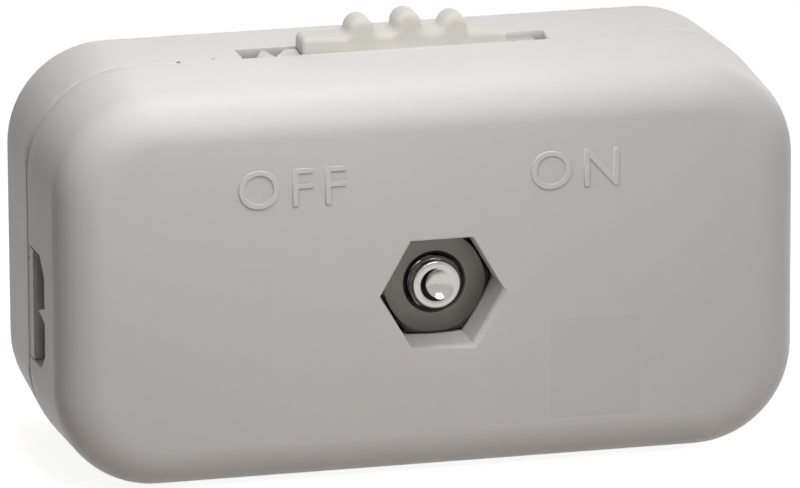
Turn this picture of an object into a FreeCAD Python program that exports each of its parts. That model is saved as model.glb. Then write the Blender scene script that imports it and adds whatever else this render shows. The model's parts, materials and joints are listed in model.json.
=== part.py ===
import FreeCAD, Part
import math
import os

# Inline cord switch: two moulded covers clamped by one screw, and a thumb slide that
# makes and breaks one core of a flat two-core cord. Sizes are in millimetres.
# +X runs along the body, +Y from the front cover to the rear cover, +Z is up.
# The origin is under the middle of the body, on the surface that it stands on.

# Body
BODY_LENGTH = 47.6
BODY_HEIGHT = 25.4
FRONT_DEPTH = 8.9
REAR_DEPTH = 9.8
CORNER_RADIUS = 6.6
FRONT_EDGE_RADIUS = 2.9
REAR_EDGE_RADIUS = 2.5
SEAM_CHAMFER = 0.2
DRAFT = 0.37
WALL = 1.8

# Clearances
RUNNING_GAP = 0.15
SEAT_GAP = 0.1
CONTACT_GAP = 0.05

# Clamp screw and nut
SCREW_X = 0.65
SCREW_BELOW_MIDDLE = 0.81
SCREW_RADIUS = 1.75
SCREW_TIP_DEPTH = 2.0
SCREW_TIP_CHAMFER = 0.28
SCREW_HOLE_GAP = 0.18
HEAD_RADIUS = 3.1
HEAD_HEIGHT = 2.1
HEAD_BEVEL = 0.6
HEAD_SUNK = 0.7
HEAD_SIDE_GAP = 0.5
DRIVER_SLOT_WIDTH = 0.9
DRIVER_SLOT_DEPTH = 1.0
NUT_ACROSS_FLATS = 6.35
NUT_HEIGHT = 2.4
NUT_FACE_DEPTH = 2.7
NUT_CHAMFER_ANGLE = 30.0
NUT_POCKET_GAP = 0.24
NUT_SHIFT = 0.15
NUT_DROP = 0.06
NUT_TURN = 1.2
BOSS_WALL = 1.25
POST_ACROSS_FLATS = 6.8

# Flat cord and its entry in each end
CORD_BELOW_MIDDLE = 1.9
CORE_PITCH = 3.0
ENTRY_HEIGHT = 7.25
ENTRY_DEPTH = 4.05
ENTRY_SLOPE_HEIGHT = 1.1
ENTRY_SLOPE_DEPTH = 1.1
ENTRY_RIDGE_WIDTH = 1.0
ENTRY_RIDGE_HEIGHT = 1.65
TONGUE_HEIGHT = 1.2
TONGUE_THICKNESS = 1.3
TONGUE_SIDE_GAP = 0.08
TONGUE_SET_BACK = 0.06
GROOVE_HEIGHT = 6.0
GROOVE_DEPTH = 3.2
GROOVE_SLOPE = 0.7
GROOVE_RIDGE_WIDTH = 1.0
GROOVE_RIDGE_HEIGHT = 1.1
RIB_THICKNESS = 1.2
SADDLE_CENTRES = (14.9, 19.3)
SADDLE_SHOULDER = 1.9
PRESS_RIB_CENTRE = 17.1
PRESS_RIB_REACH = 0.3

# Thumb slide and its slot
SLOT_DEPTH = 2.4
SLOT_END_GAP = 0.2
SLIDE_LEFT_REACH = 6.17
SLIDE_RIGHT_REACH = 6.88
SLIDE_TRAVEL = 2.7
NECK_RIGHT_REACH = 3.5
GRIP_MIDDLE_X = 0.62
GRIP_PITCH = 3.0
GRIP_RADIUS = 0.85
GRIP_RISES = (2.0, 2.22, 1.87)
DECK_RISE = 0.95
RAMP_RISE = 0.75
RAMP_END_RISE = 0.06
VALLEY_FILLET = 0.4
DECK_END_ROUND = 0.35
RAMP_END_ROUND = 0.15
FLANGE_THICKNESS = 1.45
FLANGE_FRONT = 1.2
FLANGE_REAR = 4.4
FLANGE_OVERLAP = 0.1
CARRIER_LENGTH = 11.0
CARRIER_HEIGHT = 1.4
RAIL_LENGTH = 31.0
RAIL_HEIGHT = 1.45
RAIL_GRIP_FRONT = 0.85
RAIL_GRIP_REAR = 1.4

# Stop lugs on the front cover: saw teeth at the left end of the slot, a plain block at the right
LUG_REACH = 1.9
LUG_DROP = 0.12
LUG_STOP_TIP = 0.63
LUG_VEE_SLANT = 1.0
LUG_VEE_STEEP = 0.3
LUG_VEE_FLOOR = 0.15
LUG_OUTER_TIP = 0.25
LUG_OUTER_SLANT = 0.75
LUG_ROOM = 0.85
PLAIN_LUG_REACH = 2.3
PLAIN_LUG_DROP = 0.4
PLAIN_LUG_ROOM = 0.75

# Bridge contact under the slide
LEAF_HEIGHT = 2.45
LEAF_THICKNESS = 0.35
LEAF_WIDTH = 2.0
LEAF_KNEE_SPAN = 6.0
LEAF_ARM_ANGLE = 40.0
LEAF_TIP_RUN = 1.4
LEAF_BEND_RADIUS = 0.5
STAKE_WIDTH = 1.0
STAKE_LENGTH = 0.9

# Terminals
TERMINAL_THICKNESS = 0.6
TERMINAL_OUTER_X = 13.4
TERMINAL_FOOT_INNER_X = 7.6
TERMINAL_FOOT_HEIGHT = 3.8
PAD_OUTER_X = 8.4
PAD_DEPTH = 3.0
PAD_OVERRUN = 0.8
PAD_CLEARANCE = 1.2
PAD_NECK = 0.9
PIERCE_X = (9.2, 11.7)
PIERCE_WIDTH = 1.8
PIERCE_LENGTH = 2.5
PIERCE_TIP = 0.2
BACKING_CENTRE = 10.45
SHELF_HEIGHT = 1.5

# Locating pegs in two opposite corners
PEG_RADIUS = 1.1
PEG_LENGTH = 2.5
PEG_CORNER_OFFSET = 1.3
SOCKET_WALL = 1.0

# Planes and places that follow from the sizes above
PARTING_Y = (FRONT_DEPTH - REAR_DEPTH) / 2
FRONT_Y = PARTING_Y - FRONT_DEPTH
REAR_Y = PARTING_Y + REAR_DEPTH
MIDDLE_Z = BODY_HEIGHT / 2
FRONT_FLOOR_Y = FRONT_Y + WALL
REAR_FLOOR_Y = REAR_Y - WALL
NUT_FACE_Y = FRONT_Y + NUT_FACE_DEPTH
NUT_SEAT_Y = NUT_FACE_Y + NUT_HEIGHT
SCREW_Z = MIDDLE_Z - SCREW_BELOW_MIDDLE
POCKET_X = SCREW_X - NUT_SHIFT
POCKET_Z = SCREW_Z + NUT_DROP
SCREW_HOLE_RADIUS = SCREW_RADIUS + SCREW_HOLE_GAP
NUT_BORE_RADIUS = SCREW_RADIUS + CONTACT_GAP
HEAD_RECESS_RADIUS = HEAD_RADIUS + HEAD_SIDE_GAP
HEAD_SEAT_Y = REAR_Y - HEAD_SUNK - HEAD_HEIGHT
CORD_Z = MIDDLE_Z - CORD_BELOW_MIDDLE
FLANGE_TOP_Z = BODY_HEIGHT - WALL - RUNNING_GAP
FLANGE_LOW_Z = FLANGE_TOP_Z - FLANGE_THICKNESS
RAIL_TOP_Z = FLANGE_LOW_Z - RUNNING_GAP
CARRIER_LOW_Z = FLANGE_LOW_Z - CARRIER_HEIGHT
PAD_TOP_Z = CARRIER_LOW_Z - LEAF_HEIGHT - CONTACT_GAP
LEFT_PAD_INNER_X = SLIDE_TRAVEL - LEAF_KNEE_SPAN / 2 + PAD_OVERRUN
RIGHT_PAD_INNER_X = LEAF_KNEE_SPAN / 2 + PAD_CLEARANCE
SLIDE_FRONT_Y = PARTING_Y + SEAT_GAP
SLIDE_REAR_Y = PARTING_Y + SLOT_DEPTH - SEAT_GAP
LEAF_MIDDLE_Y = (SLIDE_FRONT_Y + SLIDE_REAR_Y) / 2
SHELF_TOP_Z = PAD_TOP_Z - TERMINAL_THICKNESS
TERMINAL_FRONT_Y = PARTING_Y + CONTACT_GAP
TERMINAL_REAR_Y = TERMINAL_FRONT_Y + TERMINAL_THICKNESS
UPPER_CORE_Z = CORD_Z + CORE_PITCH / 2
LUG_STOP_X = -SLIDE_LEFT_REACH - SEAT_GAP
LUG_VEE_X = LUG_STOP_X - LUG_STOP_TIP - LUG_VEE_SLANT
LUG_OUTER_X = LUG_VEE_X - LUG_VEE_STEEP - LUG_OUTER_TIP - LUG_OUTER_SLANT
SLOT_LEFT_X = LUG_OUTER_X - LUG_ROOM
SLOT_RIGHT_X = SLIDE_RIGHT_REACH + SLIDE_TRAVEL + SLOT_END_GAP
PLAIN_LUG_X = NECK_RIGHT_REACH + SLIDE_TRAVEL + SEAT_GAP
PLAIN_LUG_TOP_Z = BODY_HEIGHT - PLAIN_LUG_DROP
LIP_LOW_Z = PLAIN_LUG_TOP_Z + SEAT_GAP
CORNER_X = BODY_LENGTH / 2 - CORNER_RADIUS
CORNER_Z = BODY_HEIGHT - CORNER_RADIUS


def block(x_from, x_to, y_from, y_to, z_from, z_to):
    """Box between two corners."""
    size = (x_to - x_from, y_to - y_from, z_to - z_from)
    return Part.makeBox(*size, FreeCAD.Vector(x_from, y_from, z_from))


def rod(radius, x, z, y_from, y_to):
    """Round bar along the depth of the body."""
    return Part.makeCylinder(radius, y_to - y_from, FreeCAD.Vector(x, y_from, z), FreeCAD.Vector(0, 1, 0))


def line(start, end):
    """Straight edge between two points."""
    return Part.LineSegment(start, end).toShape()


def arc(start, middle, end):
    """Round edge through three points."""
    return Part.Arc(start, middle, end).toShape()


def prism(points, along):
    """Solid with straight sides, drawn from a closed outline."""
    return Part.Face(Part.makePolygon(points + points[:1])).extrude(along)


def mirrored(shape):
    """Same shape at the other end of the body."""
    return shape.mirror(FreeCAD.Vector(0, 0, 0), FreeCAD.Vector(1, 0, 0))


def rim_section(face_y, edge_radius):
    """Section through the rim of a half: broken seam edge, drafted side and round face edge.

    It lies at the centre of the upper right corner, and points to the right.
    """
    inward = math.copysign(1, face_y - PARTING_Y)
    depth = abs(face_y - PARTING_Y)
    slope = DRAFT / depth
    lean = math.atan(slope)
    hub_depth = depth - edge_radius
    hub = CORNER_RADIUS - slope * hub_depth - edge_radius / math.cos(lean)
    edge_turn = math.pi / 2 - lean

    def point(reach, at_depth):
        return FreeCAD.Vector(CORNER_X + reach, PARTING_Y + inward * at_depth, CORNER_Z)

    def on_edge(turn):
        return point(hub + edge_radius * math.sin(turn), hub_depth + edge_radius * math.cos(turn))

    corners = [
        on_edge(0),
        point(0, depth),
        point(0, 0),
        point(CORNER_RADIUS - SEAM_CHAMFER, 0),
        point(CORNER_RADIUS - slope * SEAM_CHAMFER, SEAM_CHAMFER),
        on_edge(edge_turn),
    ]
    edges = [line(start, end) for start, end in zip(corners, corners[1:])]
    edges.append(arc(on_edge(edge_turn), on_edge(edge_turn / 2), on_edge(0)))
    return Part.Face(Part.Wire(edges))


def solid_half(face_y, edge_radius):
    """Half of the body in the solid: its rim section turned round each corner and drawn along each side."""
    section = rim_section(face_y, edge_radius)
    centre = FreeCAD.Vector(CORNER_X, 0, CORNER_Z)
    turning = FreeCAD.Vector(0, -1, 0)
    quarter = section.revolve(centre, turning, 90)
    end = section.extrude(FreeCAD.Vector(0, 0, CORNER_RADIUS - CORNER_Z))
    top = section.rotated(centre, turning, 90).extrude(FreeCAD.Vector(-2 * CORNER_X, 0, 0))
    upper = [quarter, mirrored(quarter), top]
    middle = FreeCAD.Vector(0, 0, MIDDLE_Z)
    lower = [piece.mirror(middle, FreeCAD.Vector(0, 0, 1)) for piece in upper]
    y_from, y_to = sorted((PARTING_Y, face_y))
    core = block(-CORNER_X, CORNER_X, y_from, y_to, CORNER_RADIUS, CORNER_Z)
    return core.multiFuse(upper + lower + [end, mirrored(end)]).removeSplitter()


def half_shell(face_y, floor_y, edge_radius):
    """Hollow cover half."""
    side = BODY_LENGTH / 2 - WALL
    y_from, y_to = sorted((PARTING_Y, floor_y))
    cavity = block(-side, side, y_from, y_to, WALL, BODY_HEIGHT - WALL)
    corners = [edge for edge in cavity.Edges if edge.BoundBox.YLength > WALL]
    return solid_half(face_y, edge_radius).cut(cavity.makeFillet(CORNER_RADIUS - WALL, corners))


def cord_groove(x_from, x_to, height, depth, slope_height, slope_depth, ridge_width, ridge_height):
    """Passage for a flat two-core cord, open to the parting plane, with a ridge between the cores."""
    half = height / 2
    shape = (
        (WALL, half),
        (slope_depth - depth, half),
        (-depth, half - slope_height),
        (-depth, ridge_width / 2),
        (ridge_height - depth, 0),
        (-depth, -ridge_width / 2),
        (-depth, slope_height - half),
        (slope_depth - depth, -half),
        (WALL, -half),
    )
    points = [FreeCAD.Vector(x_from, PARTING_Y + y, CORD_Z + z) for y, z in shape]
    return prism(points, FreeCAD.Vector(x_to - x_from, 0, 0))


def hexagon(across_flats, x, z, y_from, y_to):
    """Hexagonal bar along the depth of the body, with flats above and below."""
    radius = across_flats / math.sqrt(3)
    points = []
    for step in range(6):
        turn = math.radians(60 * step)
        points.append(FreeCAD.Vector(x + radius * math.cos(turn), y_from, z + radius * math.sin(turn)))
    return prism(points, FreeCAD.Vector(0, y_to - y_from, 0))


def peg_places():
    """Locating pegs stand in the top left and bottom right corners, seen from the front."""
    x = CORNER_X + PEG_CORNER_OFFSET
    z = CORNER_Z + PEG_CORNER_OFFSET
    return ((-x, z), (x, BODY_HEIGHT - z))


def corner_boss(x, z, y_from, y_to):
    """Square boss that carries a locating peg or its hole."""
    half = PEG_RADIUS + SEAT_GAP + SOCKET_WALL
    return block(x - half, x + half, y_from, y_to, z - half, z + half)


def cord_saddle(centre):
    """Rib across the front cover that the cord lies in."""
    low = centre - RIB_THICKNESS / 2
    high = centre + RIB_THICKNESS / 2
    reach = GROOVE_HEIGHT / 2 + SADDLE_SHOULDER
    top_y = PARTING_Y - SEAT_GAP
    rib = block(low, high, FRONT_FLOOR_Y - WALL / 2, top_y, CORD_Z - reach, CORD_Z + reach)
    groove = cord_groove(
        low - WALL, high + WALL, GROOVE_HEIGHT, GROOVE_DEPTH,
        GROOVE_SLOPE, GROOVE_SLOPE, GROOVE_RIDGE_WIDTH, GROOVE_RIDGE_HEIGHT,
    )
    return rib.cut(groove)


def cord_entry():
    """Passage through one end wall of the front cover."""
    return cord_groove(
        BODY_LENGTH / 2 - 2 * WALL, BODY_LENGTH / 2 + WALL, ENTRY_HEIGHT, ENTRY_DEPTH,
        ENTRY_SLOPE_HEIGHT, ENTRY_SLOPE_DEPTH, ENTRY_RIDGE_WIDTH, ENTRY_RIDGE_HEIGHT,
    )


def stop_lugs():
    """Lugs on the front cover's rim: saw teeth that stop the slide at the left, a block for its neck."""
    outline = (
        (LUG_STOP_X, -WALL),
        (LUG_STOP_X, LUG_REACH),
        (LUG_STOP_X - LUG_STOP_TIP, LUG_REACH),
        (LUG_VEE_X, LUG_VEE_FLOOR),
        (LUG_VEE_X - LUG_VEE_STEEP, LUG_REACH),
        (LUG_VEE_X - LUG_VEE_STEEP - LUG_OUTER_TIP, LUG_REACH),
        (LUG_OUTER_X, 0),
        (LUG_OUTER_X, -WALL),
    )
    low = BODY_HEIGHT - WALL
    points = [FreeCAD.Vector(x, PARTING_Y + y, low) for x, y in outline]
    toothed = prism(points, FreeCAD.Vector(0, 0, WALL - LUG_DROP))
    plain = block(
        PLAIN_LUG_X, SLOT_RIGHT_X - PLAIN_LUG_ROOM, PARTING_Y - WALL, PARTING_Y + PLAIN_LUG_REACH,
        low, PLAIN_LUG_TOP_Z,
    )
    return [toothed, plain]


def front_cover():
    """Front half: nut pocket, screw post, cord saddles, pegs and the front rail of the slide."""
    start_y = FRONT_FLOOR_Y - WALL / 2
    pocket_size = NUT_ACROSS_FLATS + 2 * NUT_POCKET_GAP
    rail_y = PARTING_Y - FLANGE_FRONT + RAIL_GRIP_FRONT
    pieces = [
        hexagon(pocket_size + 2 * BOSS_WALL, POCKET_X, POCKET_Z, start_y, PARTING_Y - SEAT_GAP),
        block(
            -RAIL_LENGTH / 2, RAIL_LENGTH / 2, start_y, rail_y,
            RAIL_TOP_Z - RAIL_HEIGHT, RAIL_TOP_Z,
        ),
    ]
    pieces += stop_lugs()
    for centre in SADDLE_CENTRES:
        saddle = cord_saddle(centre)
        pieces += [saddle, mirrored(saddle)]
    for x, z in peg_places():
        pieces.append(corner_boss(x, z, start_y, PARTING_Y - SEAT_GAP))
        pieces.append(rod(PEG_RADIUS, x, z, start_y, PARTING_Y + PEG_LENGTH))
    cover = half_shell(FRONT_Y, FRONT_FLOOR_Y, FRONT_EDGE_RADIUS).multiFuse(pieces)
    entry = cord_entry()
    cuts = [
        hexagon(pocket_size, POCKET_X, POCKET_Z, FRONT_Y - WALL, NUT_SEAT_Y),
        rod(SCREW_HOLE_RADIUS, SCREW_X, SCREW_Z, NUT_SEAT_Y - WALL, PARTING_Y + WALL),
        entry,
        mirrored(entry),
    ]
    return cover.cut(Part.makeCompound(cuts)).removeSplitter()


def rear_cover():
    """Rear half: slide slot, contact shelf, screw post, cord tongues and the rear rail of the slide."""
    start_y = REAR_FLOOR_Y + WALL / 2
    rail_y = PARTING_Y + FLANGE_REAR - RAIL_GRIP_REAR
    shelf_y = TERMINAL_REAR_Y + SEAT_GAP
    shelf_low = SHELF_TOP_Z - SHELF_HEIGHT
    pieces = [
        hexagon(2 * HEAD_RECESS_RADIUS + 2 * BOSS_WALL, SCREW_X, SCREW_Z, HEAD_SEAT_Y - WALL, start_y),
        hexagon(POST_ACROSS_FLATS, SCREW_X, SCREW_Z, PARTING_Y, start_y),
        block(
            -RAIL_LENGTH / 2, RAIL_LENGTH / 2, rail_y, start_y,
            RAIL_TOP_Z - RAIL_HEIGHT, RAIL_TOP_Z,
        ),
        block(-PAD_OUTER_X, PAD_OUTER_X, shelf_y, start_y, shelf_low, SHELF_TOP_Z),
        block(
            LEFT_PAD_INNER_X + SEAT_GAP, RIGHT_PAD_INNER_X - SEAT_GAP,
            shelf_y, PARTING_Y + PAD_DEPTH, shelf_low, PAD_TOP_Z,
        ),
    ]
    tongue_reach = ENTRY_HEIGHT / 2 - TONGUE_SIDE_GAP
    tongue_outer = BODY_LENGTH / 2 - TONGUE_SET_BACK
    press_reach = GROOVE_HEIGHT / 2 - TONGUE_SIDE_GAP
    end_pieces = [
        block(
            tongue_outer - TONGUE_THICKNESS, tongue_outer, PARTING_Y - TONGUE_HEIGHT, PARTING_Y + WALL,
            CORD_Z - tongue_reach, CORD_Z + tongue_reach,
        ),
        block(
            PRESS_RIB_CENTRE - RIB_THICKNESS / 2, PRESS_RIB_CENTRE + RIB_THICKNESS / 2,
            PARTING_Y - PRESS_RIB_REACH, start_y, CORD_Z - press_reach, CORD_Z + press_reach,
        ),
        block(
            BACKING_CENTRE - RIB_THICKNESS / 2, BACKING_CENTRE + RIB_THICKNESS / 2,
            TERMINAL_REAR_Y, start_y, CORD_Z - press_reach, shelf_low,
        ),
    ]
    for piece in end_pieces:
        pieces += [piece, mirrored(piece)]
    for x, z in peg_places():
        pieces.append(corner_boss(x, z, PARTING_Y, start_y))
    cover = half_shell(REAR_Y, REAR_FLOOR_Y, REAR_EDGE_RADIUS).multiFuse(pieces)
    cuts = [
        rod(SCREW_HOLE_RADIUS, SCREW_X, SCREW_Z, PARTING_Y - WALL, HEAD_SEAT_Y + WALL),
        rod(HEAD_RECESS_RADIUS, SCREW_X, SCREW_Z, HEAD_SEAT_Y, REAR_Y + WALL),
        block(
            SLOT_LEFT_X, SLOT_RIGHT_X, PARTING_Y - WALL, PARTING_Y + SLOT_DEPTH,
            BODY_HEIGHT - 2 * WALL, BODY_HEIGHT + WALL,
        ),
    ]
    for x, z in peg_places():
        hole_end = PARTING_Y + PEG_LENGTH + 2 * SEAT_GAP
        cuts.append(rod(PEG_RADIUS + SEAT_GAP, x, z, PARTING_Y - WALL, hole_end))
    for cut in cuts:
        cover = cover.cut(cut)
    return cover.removeSplitter()


def grip_rib(centre, rise, left_floor, right_floor):
    """Outline of one round grip rib, with a fillet into the valley on each side."""
    middle_z = rise - GRIP_RADIUS
    span = GRIP_RADIUS + VALLEY_FILLET

    def point(x, z):
        return FreeCAD.Vector(centre + x, SLIDE_FRONT_Y, BODY_HEIGHT + z)

    def fillet(side, floor):
        lift = floor + VALLEY_FILLET - middle_z
        reach = math.sqrt(span**2 - lift**2)
        brow = point(side * reach * GRIP_RADIUS / span, middle_z + lift * GRIP_RADIUS / span)
        lean = math.atan2(reach, lift) / 2
        bend_x = side * (reach - VALLEY_FILLET * math.sin(lean))
        bend_z = floor + VALLEY_FILLET * (1 - math.cos(lean))
        return brow, point(bend_x, bend_z), point(side * reach, floor)

    left_brow, left_bend, left_foot = fillet(-1, left_floor)
    right_brow, right_bend, right_foot = fillet(1, right_floor)
    return [
        arc(left_foot, left_bend, left_brow),
        arc(left_brow, point(0, rise), right_brow),
        arc(right_brow, right_bend, right_foot),
    ]


def slide_button():
    """Thumb slide: ribbed grip with a ramp over the plain lug, flange under the cover, contact carrier."""

    def point(x, z):
        return FreeCAD.Vector(x, SLIDE_FRONT_Y, z)

    def end_round(side, reach, top_z, radius):
        turn = radius * (1 - math.sqrt(0.5))
        inner = point(side * (reach - radius), top_z)
        middle = point(side * (reach - turn), top_z - turn)
        return inner, middle, point(side * reach, top_z - radius)

    ribs = []
    for step, rise in zip((-1, 0, 1), GRIP_RISES):
        right_floor = RAMP_RISE if step == 1 else DECK_RISE
        ribs.append(grip_rib(GRIP_MIDDLE_X + step * GRIP_PITCH, rise, DECK_RISE, right_floor))
    left_top, left_bend, left_side = end_round(-1, SLIDE_LEFT_REACH, BODY_HEIGHT + DECK_RISE, DECK_END_ROUND)
    right_top, right_bend, right_side = end_round(
        1, SLIDE_RIGHT_REACH, BODY_HEIGHT + RAMP_END_RISE, RAMP_END_ROUND,
    )
    underside = [
        right_side,
        point(SLIDE_RIGHT_REACH, LIP_LOW_Z),
        point(NECK_RIGHT_REACH, LIP_LOW_Z),
        point(NECK_RIGHT_REACH, FLANGE_LOW_Z),
        point(-SLIDE_LEFT_REACH, FLANGE_LOW_Z),
        left_side,
    ]
    edges = [line(before, after) for before, after in zip(underside, underside[1:])]
    edges.append(arc(left_side, left_bend, left_top))
    last = left_top
    for rib in ribs:
        edges.append(line(last, rib[0].Vertexes[0].Point))
        edges += rib
        last = rib[-1].Vertexes[-1].Point
    edges += [line(last, right_top), arc(right_top, right_bend, right_side)]
    grip = Part.Face(Part.Wire(edges)).extrude(FreeCAD.Vector(0, SLIDE_REAR_Y - SLIDE_FRONT_Y, 0))
    flange = block(
        SLOT_LEFT_X - SLIDE_TRAVEL - FLANGE_OVERLAP, SLOT_RIGHT_X + FLANGE_OVERLAP,
        PARTING_Y - FLANGE_FRONT, PARTING_Y + FLANGE_REAR, FLANGE_LOW_Z, FLANGE_TOP_Z,
    )
    carrier = block(
        -CARRIER_LENGTH / 2, CARRIER_LENGTH / 2, SLIDE_FRONT_Y, SLIDE_REAR_Y,
        CARRIER_LOW_Z, FLANGE_LOW_Z,
    )
    stake = stake_bar(STAKE_WIDTH, CARRIER_LOW_Z - STAKE_LENGTH, CARRIER_LOW_Z)
    return grip.multiFuse([flange, carrier, stake]).removeSplitter()


def stake_bar(width, z_from, z_to):
    """Square bar under the middle of the slide, which the bridge contact is staked to."""
    half = width / 2
    return block(-half, half, LEAF_MIDDLE_Y - half, LEAF_MIDDLE_Y + half, z_from, z_to)


def bent_path(points, radius):
    """Straight runs joined by tangent arcs."""
    edges = []
    start = points[0]
    for before, corner, after in zip(points, points[1:], points[2:]):
        back = (before - corner).normalize()
        ahead = (after - corner).normalize()
        half_turn = back.getAngle(ahead) / 2
        run = radius / math.tan(half_turn)
        reach = radius / math.sin(half_turn) - radius
        inward = (back + ahead).normalize()
        edges.append(line(start, corner + back * run))
        edges.append(arc(corner + back * run, corner + inward * reach, corner + ahead * run))
        start = corner + ahead * run
    edges.append(line(start, points[-1]))
    return Part.Wire(edges)


def bridge_contact():
    """Bowed bronze leaf, staked under the slide, with a rounded knee towards each terminal pad."""
    lean = math.radians(LEAF_ARM_ANGLE)
    flat_z = CARRIER_LOW_Z - LEAF_THICKNESS / 2
    knee_z = CARRIER_LOW_Z - LEAF_HEIGHT + LEAF_THICKNESS / 2
    corner_z = knee_z - LEAF_BEND_RADIUS * (1 / math.cos(lean) - 1)
    knee_x = LEAF_KNEE_SPAN / 2
    half = (
        (knee_x - (flat_z - corner_z) / math.tan(lean), flat_z),
        (knee_x, corner_z),
        (knee_x + LEAF_TIP_RUN, corner_z + LEAF_TIP_RUN * math.tan(lean)),
    )
    start_y = LEAF_MIDDLE_Y - LEAF_WIDTH / 2
    right = [FreeCAD.Vector(x, start_y, z) for x, z in half]
    left = [FreeCAD.Vector(-x, start_y, z) for x, z in reversed(half)]
    path = bent_path(left + right, LEAF_BEND_RADIUS)
    section = path.makeOffset2D(LEAF_THICKNESS / 2, fill=True, openResult=False)
    leaf = section.extrude(FreeCAD.Vector(0, LEAF_WIDTH, 0))
    hole = stake_bar(STAKE_WIDTH + 2 * CONTACT_GAP, CARRIER_LOW_Z - WALL, CARRIER_LOW_Z)
    return leaf.cut(hole)


def terminal(pad_inner_x):
    """Brass stamping at the right: pierced foot on the cord, and a pad folded back under the slide."""
    foot_low = UPPER_CORE_Z - TERMINAL_FOOT_HEIGHT / 2
    foot_high = UPPER_CORE_Z + TERMINAL_FOOT_HEIGHT / 2
    neck_low = PAD_TOP_Z - PAD_NECK
    outline = (
        (TERMINAL_OUTER_X, foot_low),
        (TERMINAL_OUTER_X, foot_high),
        (PAD_OUTER_X, PAD_TOP_Z),
        (pad_inner_x, PAD_TOP_Z),
        (pad_inner_x, neck_low),
        (TERMINAL_FOOT_INNER_X, foot_high),
        (TERMINAL_FOOT_INNER_X, foot_low),
    )
    points = [FreeCAD.Vector(x, TERMINAL_FRONT_Y, z) for x, z in outline]
    plate = prism(points, FreeCAD.Vector(0, TERMINAL_THICKNESS, 0))
    pad = block(
        pad_inner_x, PAD_OUTER_X, TERMINAL_FRONT_Y, PARTING_Y + PAD_DEPTH,
        SHELF_TOP_Z, PAD_TOP_Z,
    )
    spurs = []
    for x in PIERCE_X:
        spur = (
            (TERMINAL_FRONT_Y, UPPER_CORE_Z - PIERCE_WIDTH / 2),
            (TERMINAL_FRONT_Y - PIERCE_LENGTH, UPPER_CORE_Z - PIERCE_TIP / 2),
            (TERMINAL_FRONT_Y - PIERCE_LENGTH, UPPER_CORE_Z + PIERCE_TIP / 2),
            (TERMINAL_FRONT_Y, UPPER_CORE_Z + PIERCE_WIDTH / 2),
        )
        side = x - TERMINAL_THICKNESS / 2
        points = [FreeCAD.Vector(side, y, z) for y, z in spur]
        spurs.append(prism(points, FreeCAD.Vector(TERMINAL_THICKNESS, 0, 0)))
    return plate.multiFuse([pad] + spurs).removeSplitter()


def hex_nut():
    """Hexagon nut with its front corners turned off."""
    nut = hexagon(NUT_ACROSS_FLATS, SCREW_X, SCREW_Z, NUT_FACE_Y, NUT_SEAT_Y)
    flat_radius = NUT_ACROSS_FLATS / 2
    slope = math.tan(math.radians(NUT_CHAMFER_ANGLE))
    back_radius = flat_radius + NUT_HEIGHT / slope
    front = FreeCAD.Vector(SCREW_X, NUT_FACE_Y, SCREW_Z)
    turned = Part.makeCone(flat_radius, back_radius, NUT_HEIGHT, front, FreeCAD.Vector(0, 1, 0))
    nut = nut.common(turned).rotated(front, FreeCAD.Vector(0, -1, 0), NUT_TURN)
    return nut.cut(rod(NUT_BORE_RADIUS, SCREW_X, SCREW_Z, NUT_FACE_Y, NUT_SEAT_Y))


def clamp_screw():
    """Slotted cheese-headed screw, put in from the rear, with its bevelled end just past the nut."""
    tip_y = FRONT_Y + SCREW_TIP_DEPTH
    crown_y = HEAD_SEAT_Y + HEAD_HEIGHT

    def point(radius, y):
        return FreeCAD.Vector(SCREW_X + radius, y, SCREW_Z)

    corners = (
        point(0, crown_y),
        point(0, tip_y),
        point(SCREW_RADIUS - SCREW_TIP_CHAMFER, tip_y),
        point(SCREW_RADIUS, tip_y + SCREW_TIP_CHAMFER),
        point(SCREW_RADIUS, HEAD_SEAT_Y),
        point(HEAD_RADIUS, HEAD_SEAT_Y),
        point(HEAD_RADIUS, crown_y - HEAD_BEVEL),
        point(HEAD_RADIUS - HEAD_BEVEL, crown_y),
    )
    profile = Part.Face(Part.makePolygon(corners + corners[:1]))
    screw = profile.revolve(point(0, 0), FreeCAD.Vector(0, 1, 0), 360)
    slot = block(
        SCREW_X - 2 * HEAD_RADIUS, SCREW_X + 2 * HEAD_RADIUS, crown_y - DRIVER_SLOT_DEPTH, crown_y + WALL,
        SCREW_Z - DRIVER_SLOT_WIDTH / 2, SCREW_Z + DRIVER_SLOT_WIDTH / 2,
    )
    return screw.cut(slot)


def main():
    os.makedirs("parts", exist_ok=True)
    nodes = {
        "front_cover": front_cover(),
        "rear_cover": rear_cover(),
        "slide_button": slide_button(),
        "bridge_contact": bridge_contact(),
        "left_terminal": mirrored(terminal(-LEFT_PAD_INNER_X)),
        "right_terminal": terminal(RIGHT_PAD_INNER_X),
        "hex_nut": hex_nut(),
        "clamp_screw": clamp_screw(),
    }
    for name, shape in nodes.items():
        print(name, shape.isValid(), len(shape.Solids), round(shape.Volume, 2))
        shape.exportStep("parts/" + name + ".step")


main()
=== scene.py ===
import json
import math

import bmesh
import bpy
from bpy.props import FloatProperty, FloatVectorProperty, PointerProperty
from mathutils import Matrix, Vector


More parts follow.
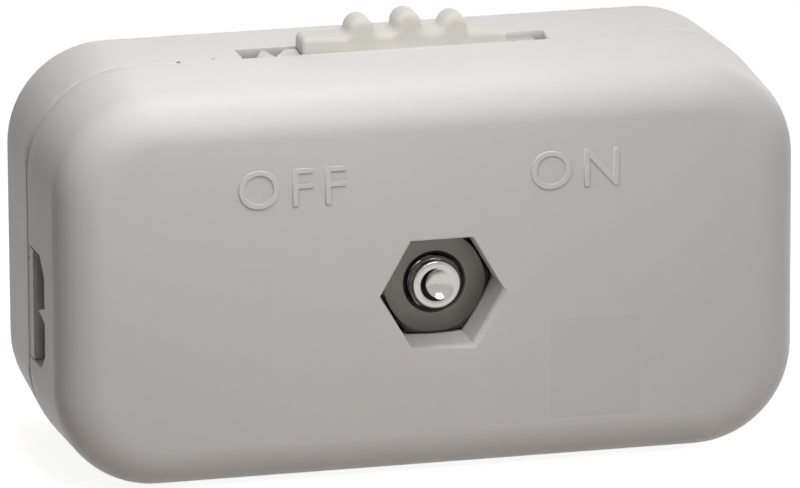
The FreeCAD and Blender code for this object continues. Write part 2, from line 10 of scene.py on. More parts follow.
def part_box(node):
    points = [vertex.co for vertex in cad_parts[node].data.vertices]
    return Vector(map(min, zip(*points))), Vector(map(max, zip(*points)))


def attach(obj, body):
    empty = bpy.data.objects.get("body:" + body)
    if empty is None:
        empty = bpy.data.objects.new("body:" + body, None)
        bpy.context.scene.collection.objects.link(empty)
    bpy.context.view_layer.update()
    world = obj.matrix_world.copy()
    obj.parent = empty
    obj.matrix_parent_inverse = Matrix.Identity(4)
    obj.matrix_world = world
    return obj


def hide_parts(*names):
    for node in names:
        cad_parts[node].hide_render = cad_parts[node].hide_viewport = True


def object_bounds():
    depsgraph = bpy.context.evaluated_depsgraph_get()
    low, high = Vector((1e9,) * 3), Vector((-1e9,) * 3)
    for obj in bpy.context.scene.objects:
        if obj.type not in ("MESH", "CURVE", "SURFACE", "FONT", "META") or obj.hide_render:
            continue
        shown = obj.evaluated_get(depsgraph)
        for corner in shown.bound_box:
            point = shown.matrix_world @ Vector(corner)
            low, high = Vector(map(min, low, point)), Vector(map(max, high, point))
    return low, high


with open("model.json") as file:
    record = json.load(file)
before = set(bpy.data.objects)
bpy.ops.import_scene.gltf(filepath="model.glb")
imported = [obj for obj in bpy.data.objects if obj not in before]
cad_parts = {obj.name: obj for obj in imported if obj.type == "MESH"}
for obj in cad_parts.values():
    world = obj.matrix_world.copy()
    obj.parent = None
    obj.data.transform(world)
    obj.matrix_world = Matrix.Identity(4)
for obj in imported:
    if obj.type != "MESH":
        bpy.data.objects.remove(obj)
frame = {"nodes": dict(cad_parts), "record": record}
CAD_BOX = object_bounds()

bl_info = {
    "name": "Inline cord switch",
    "version": (1, 0, 0),
    "blender": (4, 5, 0),
    "location": "View3D > Sidebar > Cord switch",
    "description": "Dresses the solids of an inline cord switch with moulded, plated and rolled finishes",
    "category": "Object",
}

MM = 0.001
NEAR = 0.01 * MM

# Sockets of the node that mixes two colours
MIX_FIRST = 6
MIX_SECOND = 7
MIX_RESULT = 2

# Places read from the frame
MOUNTS = {mount["name"]: Vector(mount["pos_m"]) for mount in frame["record"]["mounts"]}
FRONT_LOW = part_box("front_cover")[0]
REAR_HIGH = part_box("rear_cover")[1]
NUT_LOW, NUT_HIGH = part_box("hex_nut")
SCREW_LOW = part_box("clamp_screw")[0]
AXIS = (NUT_LOW + NUT_HIGH) / 2
LOWER_RIGHT = Vector((math.cos(math.radians(-60)), 0.0, math.sin(math.radians(-60))))
HALF_LENGTH = CAD_BOX[1].x
CORD_Z = MOUNTS["cord_entry_left"].z
RIM_DEPTH = 1.0 * MM
SEAM_Y = min(
    vert.co.y for vert in frame["nodes"]["rear_cover"].data.vertices if vert.co.z > REAR_HIGH.z - RIM_DEPTH
)

# Camera, from the way the edges of the body run together in the picture
IMAGE_WIDTH = 800
IMAGE_HEIGHT = 488
CAMERA_AZIMUTH = math.radians(-13.45)
CAMERA_ELEVATION = math.radians(15.66)
CAMERA_ROLL = math.radians(-0.31)
CAMERA_DISTANCE = 582.3 * MM
CAMERA_FOCAL_PIXELS = 9286.6
CAMERA_AXIS_PIXEL = (399.1, 242.1)
SENSOR_WIDTH = 36.0

# Share of the light that wanders under the surface of the moulded plastic
TRANSLUCENT = 0.5
OPAQUE = 0.0


def linear(code):
    """Linear colour of an sRGB hex code."""
    parts = [int(code[start:start + 2], 16) / 255 for start in (1, 3, 5)]
    return tuple(part / 12.92 if part <= 0.04045 else ((part + 0.055) / 1.055) ** 2.4 for part in parts)


def shade(colour_value, share=1.0):
    """Opaque colour for a socket, made darker or lighter by a share."""
    return (*(share * part for part in colour_value), 1.0)


def length(label, note, millimetres):
    """Size that a user may change, kept in metres."""
    return FloatProperty(
        name=label, description=note, default=millimetres * MM, min=0.0, precision=5,
        subtype="DISTANCE", unit="LENGTH",
    )


def colour(label, note, code):
    """Colour that a user may change, kept in linear light."""
    return FloatVectorProperty(
        name=label, description=note, default=linear(code), min=0.0, max=1.0, size=3, subtype="COLOR",
    )


def power(label, note, watts):
    """Power of a lamp that a user may change."""
    return FloatProperty(name=label, description=note, default=watts, min=0.0, unit="POWER")


class CordSwitchSizes(bpy.types.PropertyGroup):
    """Small forms that the solids leave to the finish."""

    recess_round: length("Recess rim", "Radius on the rim of the nut's and the screw head's recess", 0.1)
    worn_round: length("Lower recess rim", "Radius on the lower right rim of the nut's recess", 0.4)
    entry_round: length("Cord entry edges", "Radius on the edges of the cord entries", 0.1)
    slide_round: length("Slide edges", "Radius on the long edges of the slide's grip", 0.52)
    tail_rise: length("Slide tail", "Height added to the blunt right end of the slide's ramp", 0.42)
    nut_countersink: length("Nut countersink", "Width of the cone at the mouth of the nut's bore", 0.28)
    thread_diameter: length("Thread diameter", "Outside diameter of the clamp screw's thread", 3.5)
    thread_pitch: length("Thread pitch", "Advance of the clamp screw's thread in one turn", 0.794)
    thread_depth: length("Thread depth", "Depth of the clamp screw's thread", 0.4)
    cup_radius: length("Cup radius", "Radius of the hollow in the end of the clamp screw", 1.1)
    cup_depth: length("Cup depth", "Depth of the hollow in the end of the clamp screw", 0.42)
    letter_height: length("Letter height", "Height of the raised words on the front", 2.4)
    letter_rise: length("Letter rise", "How far the raised words stand out", 0.12)


class CordSwitchColours(bpy.types.PropertyGroup):
    """Colours of the finishes."""

    covers: colour("Covers", "Moulded covers", "#E6E4E2")
    slide: colour("Slide", "Moulded thumb slide", "#DFDCD5")
    nut: colour("Nut", "Turned face of the nut", "#605F5A")
    screw: colour("Screw", "Bright plating of the screw", "#B4B3B0")
    brass: colour("Terminals", "Stamped brass", "#C8A24C")
    bronze: colour("Bridge contact", "Rolled phosphor bronze", "#B97B4B")
    floor: colour("Floor", "Pale floor", "#CCC5C1")


class CordSwitchLamps(bpy.types.PropertyGroup):
    """Studio light."""

    key: power("Key softbox", "Small softbox in front and above, which shades the front downwards", 0.033)
    second_key: power("Second key", "Small softbox left of the first, for the left corner", 0.0082)
    overhead: power("Overhead softbox", "Small softbox above the slide", 0.0305)
    right: power("Right fill", "Weak fill from the right", 1.2)
    rear: power("Rear fill", "Weak fill from behind", 1.7)
    room: FloatProperty(name="Room", description="Light from the room all round", default=0.01, min=0.0)


def add_node(tree, kind, inputs=None, **settings):
    """Node with its settings, its input values and its incoming links."""
    made = tree.nodes.new(kind)
    for name, value in settings.items():
        setattr(made, name, value)
    for socket, value in (inputs or {}).items():
        if isinstance(value, bpy.types.NodeSocket):
            tree.links.new(value, made.inputs[socket])
        else:
            made.inputs[socket].default_value = value
    return made


def new_material(name):
    """Empty node material, its principled shader and the object's own coordinates in metres."""
    made = bpy.data.materials.new(name)
    made.use_nodes = True
    tree = made.node_tree
    shader = tree.nodes["Principled BSDF"]
    place = add_node(tree, "ShaderNodeTexCoord").outputs["Object"]
    return made, tree, shader, place


def moulded_plastic(name, colour_value, roughness, depth, seam_dirt):
    """Moulded polypropylene: waxy and a little translucent, with a satin spark-eroded grain.

    The eye gets soft wide highlights, faint flow marks, and specks of dust caught along the seam.
    The grain is drawn coarser than the real one, so that it shows.
    """
    made, tree, shader, place = new_material(name)
    grain_width = 0.16 * MM
    flow_width = 9.0 * MM
    flow_shade = 0.965
    satin_spread = 0.05
    flow = add_node(tree, "ShaderNodeTexNoise", {"Vector": place, "Scale": 1 / flow_width, "Detail": 2.0})
    pale = add_node(tree, "ShaderNodeMix", {
        "Factor": flow.outputs["Fac"],
        MIX_FIRST: shade(colour_value, flow_shade),
        MIX_SECOND: shade(colour_value),
    }, data_type="RGBA")
    base = pale.outputs[MIX_RESULT]
    if seam_dirt:
        spacing = 1.7 * MM
        reach = 0.34 * MM
        speck_share = 0.09
        depth_from_seam = add_node(tree, "ShaderNodeSeparateXYZ", {"Vector": place}).outputs["Y"]
        offset = add_node(
            tree, "ShaderNodeMath", {0: depth_from_seam, 1: SEAM_Y}, operation="SUBTRACT",
        )
        nearness = add_node(tree, "ShaderNodeMath", {0: offset.outputs[0]}, operation="ABSOLUTE")
        at_seam = add_node(tree, "ShaderNodeMath", {0: nearness.outputs[0], 1: reach}, operation="LESS_THAN")
        cells = add_node(tree, "ShaderNodeTexVoronoi", {"Vector": place, "Scale": 1 / spacing})
        speck = add_node(
            tree, "ShaderNodeMath", {0: cells.outputs["Distance"], 1: speck_share}, operation="LESS_THAN",
        )
        dirt = add_node(
            tree, "ShaderNodeMath", {0: speck.outputs[0], 1: at_seam.outputs[0]}, operation="MULTIPLY",
        )
        base = add_node(tree, "ShaderNodeMix", {
            "Factor": dirt.outputs[0], MIX_FIRST: base, MIX_SECOND: shade(linear("#6E6660")),
        }, data_type="RGBA").outputs[MIX_RESULT]
    grain = add_node(tree, "ShaderNodeTexNoise", {"Vector": place, "Scale": 1 / grain_width, "Detail": 3.0})
    satin = add_node(tree, "ShaderNodeMapRange", {
        "Value": grain.outputs["Fac"],
        "To Min": roughness - satin_spread,
        "To Max": roughness + satin_spread,
    })
    waves = add_node(tree, "ShaderNodeBump", {
        "Height": flow.outputs["Fac"], "Strength": 0.25, "Distance": 0.06 * MM,
    })
    satin_bump = add_node(tree, "ShaderNodeBump", {
        "Height": grain.outputs["Fac"], "Strength": 0.12, "Distance": 0.012 * MM,
        "Normal": waves.outputs["Normal"],
    })
    tree.links.new(base, shader.inputs["Base Color"])
    tree.links.new(satin.outputs["Result"], shader.inputs["Roughness"])
    tree.links.new(satin_bump.outputs["Normal"], shader.inputs["Normal"])
    shader.inputs["IOR"].default_value = 1.49
    shader.inputs["Specular IOR Level"].default_value = 0.14
    shader.inputs["Subsurface Weight"].default_value = depth
    shader.inputs["Subsurface Radius"].default_value = (1.0, 0.78, 0.68)
    shader.inputs["Subsurface Scale"].default_value = 0.9 * MM
    return made


def turned_steel(name, colour_value):
    """Zinc-plated steel, faced on a lathe: fine rings round the axis and a dull grey sheen.

    The rings are drawn coarser than real turning marks, so that they show.
    """
    made, tree, shader, place = new_material(name)
    ring_spacing = 0.13 * MM
    tarnish_width = 0.9 * MM
    tarnish_shade = 0.78
    ring_shine = 1.25
    # The wave texture turns through 20 radians for each unit of its scale
    wave_turns = 2 * math.pi / 20
    centred = add_node(tree, "ShaderNodeMapping", {"Vector": place, "Location": -AXIS})
    rings = add_node(tree, "ShaderNodeTexWave", {
        "Vector": centred.outputs["Vector"], "Scale": wave_turns / ring_spacing,
        "Distortion": 1.6, "Detail": 2.0, "Detail Scale": 1.5,
    }, wave_type="RINGS", rings_direction="Y")
    tarnish = add_node(tree, "ShaderNodeTexNoise", {
        "Vector": place, "Scale": 1 / tarnish_width, "Detail": 4.0,
    })
    tone = add_node(tree, "ShaderNodeMix", {
        "Factor": tarnish.outputs["Fac"],
        MIX_FIRST: shade(colour_value, tarnish_shade),
        MIX_SECOND: shade(colour_value),
    }, data_type="RGBA")
    ringed = add_node(tree, "ShaderNodeMix", {
        "Factor": rings.outputs["Fac"],
        MIX_FIRST: tone.outputs[MIX_RESULT],
        MIX_SECOND: shade(colour_value, ring_shine),
    }, data_type="RGBA")
    sheen = add_node(tree, "ShaderNodeMapRange", {
        "Value": rings.outputs["Fac"], "To Min": 0.34, "To Max": 0.46,
    })
    cut = add_node(tree, "ShaderNodeBump", {
        "Height": rings.outputs["Fac"], "Strength": 0.5, "Distance": 0.012 * MM,
    })
    tree.links.new(ringed.outputs[MIX_RESULT], shader.inputs["Base Color"])
    tree.links.new(sheen.outputs["Result"], shader.inputs["Roughness"])
    tree.links.new(cut.outputs["Normal"], shader.inputs["Normal"])
    shader.inputs["Metallic"].default_value = 1.0
    return made


def bright_plate(name, colour_value):
    """Bright zinc plate on a rolled screw: mirror-like, faintly smeared, with painted shade: a black
    crescent in its hollow end that stands for a dark reflection there.
    """
    made, tree, shader, place = new_material(name)
    hollow = 1.08 * MM
    crescent_shift = (0.36 * MM, 0.0, 0.06 * MM)
    crescent_start = 0.93
    crescent_full = 0.97
    smear_width = 0.5 * MM
    smear_shade = 0.86
    # Painted shade: a crescent inside the hollow end, off-centre to the left, is marked out here to be
    # painted black as a dark reflection
    centred = add_node(tree, "ShaderNodeVectorMath", {0: place, 1: AXIS}, operation="SUBTRACT")
    across = add_node(tree, "ShaderNodeVectorMath", {
        0: centred.outputs[0], 1: (1.0, 0.0, 1.0),
    }, operation="MULTIPLY")
    reach = add_node(tree, "ShaderNodeVectorMath", {0: across.outputs[0]}, operation="LENGTH")
    offset = add_node(tree, "ShaderNodeVectorMath", {
        0: across.outputs[0], 1: crescent_shift,
    }, operation="DISTANCE")
    inside = add_node(tree, "ShaderNodeMapRange", {
        "Value": reach.outputs["Value"], "From Min": crescent_full * hollow, "From Max": hollow,
        "To Min": 1.0, "To Max": 0.0,
    })
    past = add_node(tree, "ShaderNodeMapRange", {
        "Value": offset.outputs["Value"],
        "From Min": crescent_start * hollow,
        "From Max": crescent_full * hollow,
    })
    depth = add_node(tree, "ShaderNodeSeparateXYZ", {"Vector": place}).outputs["Y"]
    at_tip = add_node(tree, "ShaderNodeMath", {0: depth, 1: NUT_HIGH.y}, operation="LESS_THAN")
    crescent_mask = add_node(tree, "ShaderNodeMath", {
        0: inside.outputs["Result"], 1: past.outputs["Result"],
    }, operation="MULTIPLY")
    painted_shade_mask = add_node(tree, "ShaderNodeMath", {0: crescent_mask.outputs[0], 1: at_tip.outputs[0]}, operation="MULTIPLY")
    smear = add_node(tree, "ShaderNodeTexNoise", {"Vector": place, "Scale": 1 / smear_width, "Detail": 3.0})
    gloss = add_node(tree, "ShaderNodeMapRange", {
        "Value": smear.outputs["Fac"], "To Min": 0.08, "To Max": 0.24,
    })
    tone = add_node(tree, "ShaderNodeMix", {
        "Factor": smear.outputs["Fac"],
        MIX_FIRST: shade(colour_value, smear_shade),
        MIX_SECOND: shade(colour_value),
    }, data_type="RGBA")
    # Painted shade: the crescent in the hollow end gets a near-black colour in place of the dark reflection
    painted_shade_mix = add_node(tree, "ShaderNodeMix", {
        "Factor": painted_shade_mask.outputs[0],
        MIX_FIRST: tone.outputs[MIX_RESULT],
        MIX_SECOND: shade(linear("#1E1B19")),
    }, data_type="RGBA")
    dents = add_node(tree, "ShaderNodeBump", {
        "Height": smear.outputs["Fac"], "Strength": 0.3, "Distance": 0.02 * MM,
    })
    tree.links.new(painted_shade_mix.outputs[MIX_RESULT], shader.inputs["Base Color"])
    tree.links.new(gloss.outputs["Result"], shader.inputs["Roughness"])
    tree.links.new(dents.outputs["Normal"], shader.inputs["Normal"])
    shader.inputs["Metallic"].default_value = 1.0
    return made


def rolled_strip(name, colour_value):
    """Rolled brass or bronze strip: straight rolling lines along the body, a warm half-bright gloss."""
    made, tree, shader, place = new_material(name)
    line_spacing = 0.08 * MM
    line_length = 3.0 * MM
    line_shade = 0.8
    stretched = add_node(tree, "ShaderNodeMapping", {
        "Vector": place, "Scale": (1 / line_length, 1 / line_spacing, 1 / line_spacing),
    })
    lines = add_node(tree, "ShaderNodeTexNoise", {
        "Vector": stretched.outputs["Vector"], "Scale": 1.0, "Detail": 3.0,
    })
    tone = add_node(tree, "ShaderNodeMix", {
        "Factor": lines.outputs["Fac"],
        MIX_FIRST: shade(colour_value, line_shade),
        MIX_SECOND: shade(colour_value),
    }, data_type="RGBA")
    gloss = add_node(tree, "ShaderNodeMapRange", {
        "Value": lines.outputs["Fac"], "To Min": 0.22, "To Max": 0.38,
    })
    tree.links.new(tone.outputs[MIX_RESULT], shader.inputs["Base Color"])
    tree.links.new(gloss.outputs["Result"], shader.inputs["Roughness"])
    shader.inputs["Metallic"].default_value = 1.0
    return made


def welded(node):
    """Editable copy of a solid's mesh, with the seams between its faces closed and flat faces whole."""
    weld = 0.002 * MM
    flat = math.radians(0.3)
    form = bmesh.new()
    form.from_mesh(frame["nodes"][node].data)
    bmesh.ops.remove_doubles(form, verts=form.verts, dist=weld)
    bmesh.ops.dissolve_limit(
        form, angle_limit=flat, verts=form.verts, edges=form.edges, delimit={"NORMAL"},
    )
    return form


def round_edges(form, radius, segments, chosen):
    """Rounds the sharp edges whose two ends both satisfy a test."""
    sharp = math.radians(30)
    edges = [
        edge for edge in form.edges
        if len(edge.link_faces) == 2 and edge.calc_face_angle() > sharp
        and all(chosen(vert.co) for vert in edge.verts)
    ]
    if not edges:
        raise RuntimeError("no edge to round was found")
    bmesh.ops.bevel(
        form, geom=edges, offset=radius, offset_type="OFFSET", segments=segments, profile=0.5,
        affect="EDGES", clamp_overlap=False,
    )


def new_piece(name, form, material):
    """Smooth-shaded object from an edited mesh."""
    crisp = math.radians(50)
    bmesh.ops.recalc_face_normals(form, faces=form.faces)
    mesh = bpy.data.meshes.new(name)
    form.to_mesh(mesh)
    form.free()
    mesh.shade_smooth()
    mesh.set_sharp_from_angle(angle=crisp)
    mesh.materials.append(material)
    piece = bpy.data.objects.new(name, mesh)
    bpy.context.scene.collection.objects.link(piece)
    flats = piece.modifiers.new("Flat faces stay flat", "WEIGHTED_NORMAL")
    flats.keep_sharp = True
    return piece


def dress(piece, node, body):
    """The piece stands for a solid and moves with its body."""
    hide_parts(node)
    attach(piece, body)


def from_axis(point):
    """Distance from the screw's axis."""
    return math.hypot(point.x - AXIS.x, point.z - AXIS.z)


def skin(form, rings):
    """Closed shell through rings of as many points each, with a flat face on the first and the last."""
    rows = [[form.verts.new(point) for point in ring] for ring in rings]
    for row, following in zip(rows, rows[1:]):
        for step in range(len(row)):
            form.faces.new((row[step - 1], row[step], following[step], following[step - 1]))
    form.faces.new(rows[0])
    form.faces.new(rows[-1])


def drop_faces(form, chosen):
    """Takes away the faces that satisfy a test, and closes the hole."""
    bmesh.ops.delete(form, geom=[face for face in form.faces if chosen(face)], context="FACES")
    bmesh.ops.holes_fill(form, edges=[edge for edge in form.edges if edge.is_boundary], sides=0)


def grip_rings(outline, rear, sizes, steps):
    """Rings across the slide's grip, with its long edges rounded as far as its thin lip and end allow."""
    front = outline[0].y
    left = min(point.x for point in outline)
    right = max(point.x for point in outline)
    lip = min(point.z for point in outline if point.x > right - NEAR)
    low = min(point.z for point in outline)
    share_of_height = 0.45
    end = 0.4 * MM
    end_limit = 0.33 * MM
    tail = 0.2 * MM
    tail_limit = 0.13 * MM
    lip_height = 0.1 * MM
    overlap = Vector((0.0, 0.0, -0.3 * MM))
    for point in outline:
        if point.x > right - tail and point.z > lip + lip_height:
            point.z += sizes.tail_rise
    inset = []
    for before, point, after in zip(outline[-1:] + outline[:-1], outline, outline[1:] + outline[:1]):
        along = (after - point).normalized() + (point - before).normalized()
        inward = Vector((-along.z, 0.0, along.x)).normalized()
        room = min(sizes.slide_round, max(0.0, share_of_height * (point.z - lip)))
        if point.x < left + end:
            room = min(room, end_limit)
        if point.x > right - tail:
            room = min(room, tail_limit)
        sunk = overlap if point.z < low + NEAR else Vector()
        inset.append((point + sunk, inward, room))
    turns = [math.pi / 2 * step / steps for step in range(steps + 1)]

    def ring(turn, face, way):
        points = []
        for point, inward, room in inset:
            place = point + inward * room * (1 - math.sin(turn))
            place.y = face + way * room * (1 - math.cos(turn))
            points.append(place)
        return points

    return [ring(turn, front, 1) for turn in turns] + [ring(turn, rear, -1) for turn in reversed(turns)]


def thread_rings(sizes, tip_y, end_y):
    """Rings along the clamp screw: hollow end, rounded rim, then a helical thread up to the head."""
    sides = 48
    rows_per_turn = 10
    crest = sizes.thread_diameter / 2
    root = crest - sizes.thread_depth
    rim = 0.18 * MM
    blunt = root + 0.22 * MM
    first_crest = 0.42
    run_in_turns = 0.12
    crest_height = 1.6
    flank_slope = 4.2
    rim_steps = 5
    rings = []

    def ring(y, radius_at):
        points = []
        for step in range(sides):
            turn = 2 * math.pi * step / sides
            reach = radius_at(turn)
            points.append(Vector((AXIS.x + reach * math.cos(turn), y, AXIS.z + reach * math.sin(turn))))
        rings.append(points)

    for share in (0.04, 0.3, 0.6, 0.85, 1.0):
        depth = sizes.cup_depth * (1 - share**1.6)
        ring(tip_y + depth, lambda turn: share * sizes.cup_radius)
    for step in range(1, rim_steps + 1):
        lean = math.pi / 2 * step / rim_steps
        ring(tip_y + rim * (1 - math.cos(lean)), lambda turn: blunt - rim * (1 - math.sin(lean)))
    rows = math.ceil((end_y - tip_y - rim) / sizes.thread_pitch * rows_per_turn)
    for row in range(1, rows + 1):
        y = tip_y + rim + (end_y - tip_y - rim) * row / rows
        run_in = min(1.0, (y - tip_y - rim) / (run_in_turns * sizes.thread_pitch))

        def flank(turn):
            phase = ((y - tip_y) / sizes.thread_pitch + turn / (2 * math.pi) - first_crest) % 1.0
            height = min(1.0, max(0.0, crest_height - flank_slope * abs(phase - 0.5)))
            return root + run_in * height * (crest - root)

        ring(y, flank)
    return rings


def raised_word(name, word, middle, sizes, material):
    """Word in plain letters, raised from the front cover and sunk a little into it."""
    capital_share = 0.69
    edge_round = 0.04 * MM
    data = bpy.data.curves.new(name, "FONT")
    data.body = word
    data.size = sizes.letter_height / capital_share
    data.align_x = "CENTER"
    data.align_y = "CENTER"
    data.space_character = 1.25
    data.extrude = sizes.letter_rise
    data.bevel_depth = edge_round
    data.bevel_resolution = 2
    data.offset = -edge_round
    data.materials.append(material)
    piece = bpy.data.objects.new(name, data)
    piece.location = middle
    piece.rotation_euler = (math.pi / 2, 0.0, 0.0)
    bpy.context.scene.collection.objects.link(piece)
    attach(piece, "housing")


def insert_mark(low, high, material):
    """Bare rectangle that an insert in the mould leaves on the front, almost level with it."""
    proud = 0.006 * MM
    sunk = 0.3 * MM
    slope = 0.12 * MM
    form = bmesh.new()
    rings = []
    for y, inset in ((low.y + sunk, 0.0), (low.y, 0.0), (low.y - proud, slope)):
        left, right = low.x + inset, high.x - inset
        base, top = low.z + inset, high.z - inset
        corners = ((left, base), (right, base), (right, top), (left, top))
        rings.append([Vector((x, y, z)) for x, z in corners])
    skin(form, rings)
    piece = new_piece("mould_insert_mark", form, material)
    piece.visible_shadow = False
    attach(piece, "housing")


class CORDSWITCH_OT_covers(bpy.types.Operator):
    """Round the visible edges of the two covers and give them their moulded finish"""

    bl_idname = "cord_switch.covers"
    bl_label = "Covers"

    def execute(self, context):
        sizes = context.scene.cord_switch_sizes
        covers = context.scene.cord_switch_colours.covers
        satin = 0.38
        plastic = moulded_plastic("Moulded polypropylene, off-white", covers, satin, TRANSLUCENT, True)
        entry_reach = 3.72 * MM
        end_skin = 0.7 * MM
        recess_reach = 4.5 * MM
        worn_side = 1.0 * MM
        front = welded("front_cover")
        round_edges(
            front, sizes.worn_round, 6,
            lambda point: point.y < FRONT_LOW.y + NEAR and from_axis(point) < recess_reach
            and (point - AXIS).dot(LOWER_RIGHT) > worn_side,
        )
        round_edges(
            front, sizes.recess_round, 4,
            lambda point: point.y < FRONT_LOW.y + NEAR and from_axis(point) < recess_reach,
        )
        round_edges(
            front, sizes.entry_round, 3,
            lambda point: abs(point.x) > HALF_LENGTH - end_skin and abs(point.z - CORD_Z) < entry_reach,
        )
        dress(new_piece("front_cover_moulding", front, plastic), "front_cover", "housing")
        thin = moulded_plastic("Moulded polypropylene, thin relief", covers, satin, OPAQUE, False)
        insert_shade = 0.95
        insert_colour = [insert_shade * part for part in covers]
        insert_face = moulded_plastic(
            "Moulded polypropylene, insert face", insert_colour, satin, OPAQUE, False,
        )
        mark_low = Vector((7.4 * MM, FRONT_LOW.y, 3.3 * MM))
        mark_high = Vector((13.15 * MM, FRONT_LOW.y, 9.7 * MM))
        insert_mark(mark_low, mark_high, insert_face)
        word_x = 9.0 * MM
        word_z = 19.2 * MM
        for name, word, side in (("raised_word_left", "OFF", -1), ("raised_word_right", "ON", 1)):
            raised_word(name, word, Vector((side * word_x, FRONT_LOW.y, word_z)), sizes, thin)

        rear = welded("rear_cover")
        round_edges(
            rear, sizes.recess_round, 4,
            lambda point: point.y > REAR_HIGH.y - NEAR and from_axis(point) < recess_reach,
        )
        dress(new_piece("rear_cover_moulding", rear, plastic), "rear_cover", "housing")
        return {"FINISHED"}


class CORDSWITCH_OT_slide(bpy.types.Operator):
    """Round the grip of the thumb slide and give it its moulded finish"""

    bl_idname = "cord_switch.slide"
    bl_label = "Slide"

    def execute(self, context):
        sizes = context.scene.cord_switch_sizes
        grip_colour = context.scene.cord_switch_colours.slide
        satin = 0.36
        facing = 0.99
        plastic = moulded_plastic("Moulded polypropylene, slide", grip_colour, satin, TRANSLUCENT, False)
        slide = welded("slide_button")
        slide.normal_update()
        fronts = [face for face in slide.faces if face.normal.y < -facing]
        grip = max(fronts, key=lambda face: max(vert.co.z for vert in face.verts))
        outline = [vert.co.copy() for vert in grip.verts]
        rear = max(vert.co.y for vert in slide.verts if vert.co.z > REAR_HIGH.z)
        flange_top = min(point.z for point in outline)
        drop_faces(slide, lambda face: (
            min(vert.co.z for vert in face.verts) > flange_top - NEAR
            and max(vert.co.z for vert in face.verts) > flange_top + NEAR
        ))
        skin(slide, grip_rings(outline, rear, sizes, 6))
        dress(new_piece("slide_moulding", slide, plastic), "slide_button", "slide")
        return {"FINISHED"}


class CORDSWITCH_OT_fasteners(bpy.types.Operator):
    """Cut the thread of the clamp screw, countersink the nut and give both their plating"""

    bl_idname = "cord_switch.fasteners"
    bl_label = "Nut and screw"

    def execute(self, context):
        sizes = context.scene.cord_switch_sizes
        colours = context.scene.cord_switch_colours
        bore_gap = 0.2 * MM
        head_overlap = 0.2 * MM
        bore = sizes.thread_diameter / 2 + bore_gap
        nut = welded("hex_nut")
        round_edges(
            nut, sizes.nut_countersink, 2,
            lambda point: point.y < NUT_LOW.y + NEAR and from_axis(point) < bore,
        )
        nut_piece = new_piece("nut_turned", nut, turned_steel("Zinc-plated steel, turned", colours.nut))
        dress(nut_piece, "hex_nut", "housing")
        plate = bright_plate("Zinc-plated steel, bright", colours.screw)
        shank = sizes.thread_diameter / 2 + NEAR
        screw = welded("clamp_screw")
        seat_y = max(vert.co.y for vert in screw.verts if abs(from_axis(vert.co) - shank) < 2 * NEAR)
        drop_faces(screw, lambda face: (
            all(from_axis(vert.co) < shank for vert in face.verts)
            and min(vert.co.y for vert in face.verts) < SEAM_Y
        ))
        skin(screw, thread_rings(sizes, SCREW_LOW.y, seat_y + head_overlap))
        dress(new_piece("screw_rolled", screw, plate), "clamp_screw", "housing")
        return {"FINISHED"}


class CORDSWITCH_OT_contacts(bpy.types.Operator):
    """Give the brass terminals and the bronze bridge contact their rolled finish"""

    bl_idname = "cord_switch.contacts"
    bl_label = "Contacts"

    def execute(self, context):
        colours = context.scene.cord_switch_colours
        brass = rolled_strip("Brass strip, stamped", colours.brass)
        bronze = rolled_strip("Phosphor bronze strip, rolled", colours.bronze)
        for node, strip in (("left_terminal", brass), ("right_terminal", brass), ("bridge_contact", bronze)):
            part = frame["nodes"][node]
            part.data.materials.clear()
            part.data.materials.append(strip)
        return {"FINISHED"}


class CORDSWITCH_OT_stage(bpy.types.Operator):
    """Lay the pale floor, hang the studio lamps and set the camera"""

    bl_idname = "cord_switch.stage"
    bl_label = "Stage"

    def execute(self, context):
        lay_floor(context)
        light_room(context)
        hang_lamps(context)
        set_camera(context)
        context.scene.view_settings.view_transform = "Standard"
        return {"FINISHED"}


def seen_directly(tree):
    """One for rays that the eye follows straight, in a mirror or through glass, and nought for the rest."""
    path = add_node(tree, "ShaderNodeLightPath")
    mirrored = add_node(tree, "ShaderNodeMath", {
        0: path.outputs["Is Camera Ray"], 1: path.outputs["Is Glossy Ray"],
    }, operation="MAXIMUM")
    return add_node(tree, "ShaderNodeMath", {
        0: mirrored.outputs[0], 1: path.outputs["Is Transmission Ray"],
    }, operation="MAXIMUM").outputs[0]


def lay_floor(context):
    """Wide pale floor that looks white and still takes the object's shadow."""
    half = 3.0
    glow_share = 0.9
    form = bmesh.new()
    bmesh.ops.create_grid(form, x_segments=1, y_segments=1, size=half)
    mesh = bpy.data.meshes.new("floor")
    form.to_mesh(mesh)
    form.free()
    floor = bpy.data.objects.new("floor", mesh)
    context.scene.collection.objects.link(floor)
    made = bpy.data.materials.new("Pale studio floor")
    made.use_nodes = True
    tree = made.node_tree
    tree.nodes.clear()
    tint = context.scene.cord_switch_colours.floor
    matt = add_node(tree, "ShaderNodeBsdfDiffuse", {"Color": (*tint, 1.0)})
    lift = add_node(tree, "ShaderNodeMath", {0: seen_directly(tree), 1: glow_share}, operation="MULTIPLY")
    glow = add_node(tree, "ShaderNodeEmission", {"Strength": lift.outputs[0]})
    both = add_node(tree, "ShaderNodeAddShader", {0: matt.outputs[0], 1: glow.outputs[0]})
    add_node(tree, "ShaderNodeOutputMaterial", {"Surface": both.outputs[0]})
    mesh.materials.append(made)


def light_room(context):
    """Dim even room light, seen as white."""
    world = bpy.data.worlds.new("Studio room")
    world.use_nodes = True
    tree = world.node_tree
    tree.nodes.clear()
    dim = add_node(tree, "ShaderNodeBackground", {"Strength": context.scene.cord_switch_lamps.room})
    white = add_node(tree, "ShaderNodeBackground", {"Color": (1.0, 1.0, 1.0, 1.0), "Strength": 1.0})
    both = add_node(tree, "ShaderNodeMixShader", {
        0: seen_directly(tree), 1: dim.outputs[0], 2: white.outputs[0],
    })
    add_node(tree, "ShaderNodeOutputWorld", {"Surface": both.outputs[0]})
    context.scene.world = world


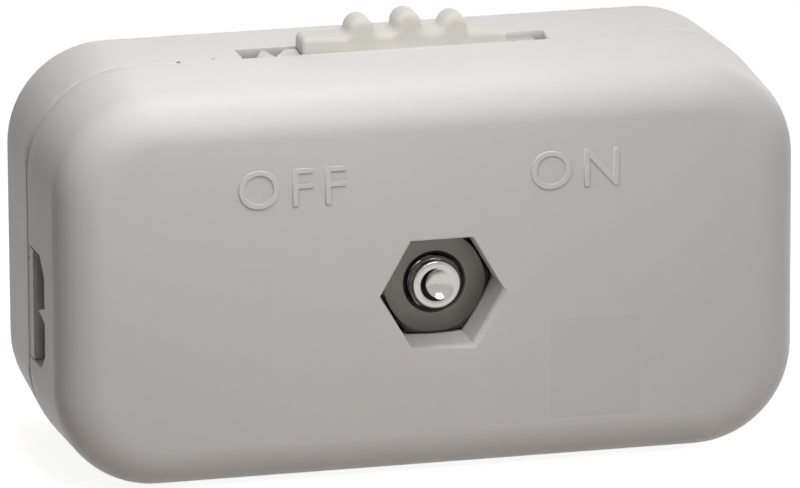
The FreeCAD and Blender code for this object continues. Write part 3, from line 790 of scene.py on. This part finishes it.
def hang_lamps(context):
    """Three softboxes close to the object and two weak fills, all aimed at its middle and out of sight."""
    lamps = context.scene.cord_switch_lamps
    middle = (CAD_BOX[0] + CAD_BOX[1]) / 2
    places = (
        ("key_softbox", lamps.key, 0.04, Vector((0.004, -0.078, 0.076))),
        ("second_key_softbox", lamps.second_key, 0.03, Vector((-0.024, -0.042, 0.065))),
        ("overhead_softbox", lamps.overhead, 0.05, Vector((-0.008, 0.0, 0.1))),
        ("right_fill", lamps.right, 0.4, Vector((0.8, 0.0, 0.25))),
        ("rear_fill", lamps.rear, 0.5, Vector((0.7, 0.6, 0.3))),
    )
    for name, watts, side, place in places:
        data = bpy.data.lights.new(name, "AREA")
        data.energy = watts
        data.size = side
        lamp = bpy.data.objects.new(name, data)
        lamp.location = place
        lamp.rotation_euler = (middle - place).to_track_quat("-Z", "Y").to_euler()
        lamp.visible_camera = False
        context.scene.collection.objects.link(lamp)


def set_camera(context):
    """Long lens from the left, a little above, as in the picture."""
    back = Vector((
        math.sin(CAMERA_AZIMUTH) * math.cos(CAMERA_ELEVATION),
        -math.cos(CAMERA_AZIMUTH) * math.cos(CAMERA_ELEVATION),
        math.sin(CAMERA_ELEVATION),
    ))
    right = Vector((math.cos(CAMERA_AZIMUTH), math.sin(CAMERA_AZIMUTH), 0.0))
    up = back.cross(right)
    rolled_right = math.cos(CAMERA_ROLL) * right + math.sin(CAMERA_ROLL) * up
    rolled_up = math.cos(CAMERA_ROLL) * up - math.sin(CAMERA_ROLL) * right
    target = Vector((0.0, 0.0, REAR_HIGH.z / 2))
    turn = Matrix((rolled_right, rolled_up, back)).transposed()
    data = bpy.data.cameras.new("camera")
    data.sensor_fit = "HORIZONTAL"
    data.sensor_width = SENSOR_WIDTH
    data.lens = CAMERA_FOCAL_PIXELS * SENSOR_WIDTH / IMAGE_WIDTH
    data.shift_x = (IMAGE_WIDTH / 2 - CAMERA_AXIS_PIXEL[0]) / IMAGE_WIDTH
    data.shift_y = (CAMERA_AXIS_PIXEL[1] - IMAGE_HEIGHT / 2) / IMAGE_WIDTH
    camera = bpy.data.objects.new("camera", data)
    camera.matrix_world = Matrix.Translation(target + back * CAMERA_DISTANCE) @ turn.to_4x4()
    context.scene.collection.objects.link(camera)
    context.scene.camera = camera


class CORDSWITCH_PT_panel(bpy.types.Panel):
    """Sizes, colours, lamps and building steps of the cord switch"""

    bl_idname = "CORDSWITCH_PT_panel"
    bl_label = "Inline cord switch"
    bl_space_type = "VIEW_3D"
    bl_region_type = "UI"
    bl_category = "Cord switch"

    def draw(self, context):
        scene = context.scene
        for group in (scene.cord_switch_sizes, scene.cord_switch_colours, scene.cord_switch_lamps):
            column = self.layout.column(align=True)
            for name in group.__annotations__:
                column.prop(group, name)
        steps = self.layout.column(align=True)
        for step in STEPS:
            steps.operator(step.bl_idname)


STEPS = (
    CORDSWITCH_OT_stage,
    CORDSWITCH_OT_covers,
    CORDSWITCH_OT_slide,
    CORDSWITCH_OT_fasteners,
    CORDSWITCH_OT_contacts,
)
CLASSES = (CordSwitchSizes, CordSwitchColours, CordSwitchLamps, *STEPS, CORDSWITCH_PT_panel)


def register():
    for each in CLASSES:
        bpy.utils.register_class(each)
    bpy.types.Scene.cord_switch_sizes = PointerProperty(type=CordSwitchSizes)
    bpy.types.Scene.cord_switch_colours = PointerProperty(type=CordSwitchColours)
    bpy.types.Scene.cord_switch_lamps = PointerProperty(type=CordSwitchLamps)


def unregister():
    del bpy.types.Scene.cord_switch_lamps
    del bpy.types.Scene.cord_switch_colours
    del bpy.types.Scene.cord_switch_sizes
    for each in reversed(CLASSES):
        bpy.utils.unregister_class(each)


def main():
    register()
    bpy.ops.cord_switch.stage()
    bpy.ops.cord_switch.covers()
    bpy.ops.cord_switch.slide()
    bpy.ops.cord_switch.fasteners()
    bpy.ops.cord_switch.contacts()


if __name__ == "__main__":
    main()
